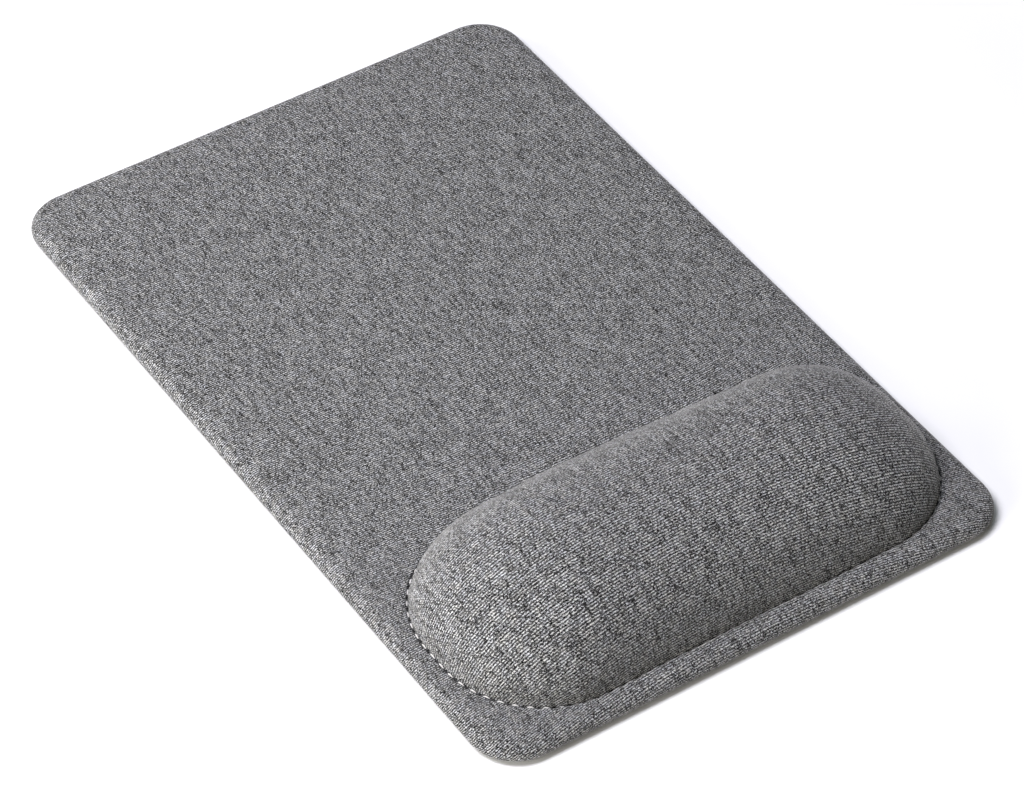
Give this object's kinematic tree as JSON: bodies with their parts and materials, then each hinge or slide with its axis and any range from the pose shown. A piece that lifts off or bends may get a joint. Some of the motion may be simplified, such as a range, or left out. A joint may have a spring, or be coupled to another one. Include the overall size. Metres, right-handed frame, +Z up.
{
  "type": "mouse pad with wrist rest",
  "caption": "Rectangular knit-covered mouse pad with rounded corners, a soft rolled rim, a crowned foam wrist rest sewn in at its near end, and a flat non-slip underside.",
  "frame": {"origin": "centre of the pad's outline, on the underside that rests on the desk", "axes": "+X along the short side to the user's right, +Y along the long side away from the user and the wrist rest, +Z up"},
  "size_m": [0.15, 0.23, 0.0265],
  "materials": {
    "cover_knit": "heathered grey stretch knit, matt",
    "seam_thread": "pale twisted sewing thread, slight sheen",
    "cushion_foam": "slow-recovery foam, open skin",
    "pad_foam": "closed-cell foam sheet",
    "grey_board": "pressed grey board",
    "non_slip_base": "matt grained non-slip sheet"
  },
  "bodies": {
    "root": {"base_sheet": "non_slip_base", "backing_board": "grey_board", "pad_foam": "pad_foam", "top_cover": "cover_knit", "wrist_cushion": "cushion_foam", "needle_thread": "seam_thread", "bobbin_thread": "seam_thread"}
  },
  "joints": []
}
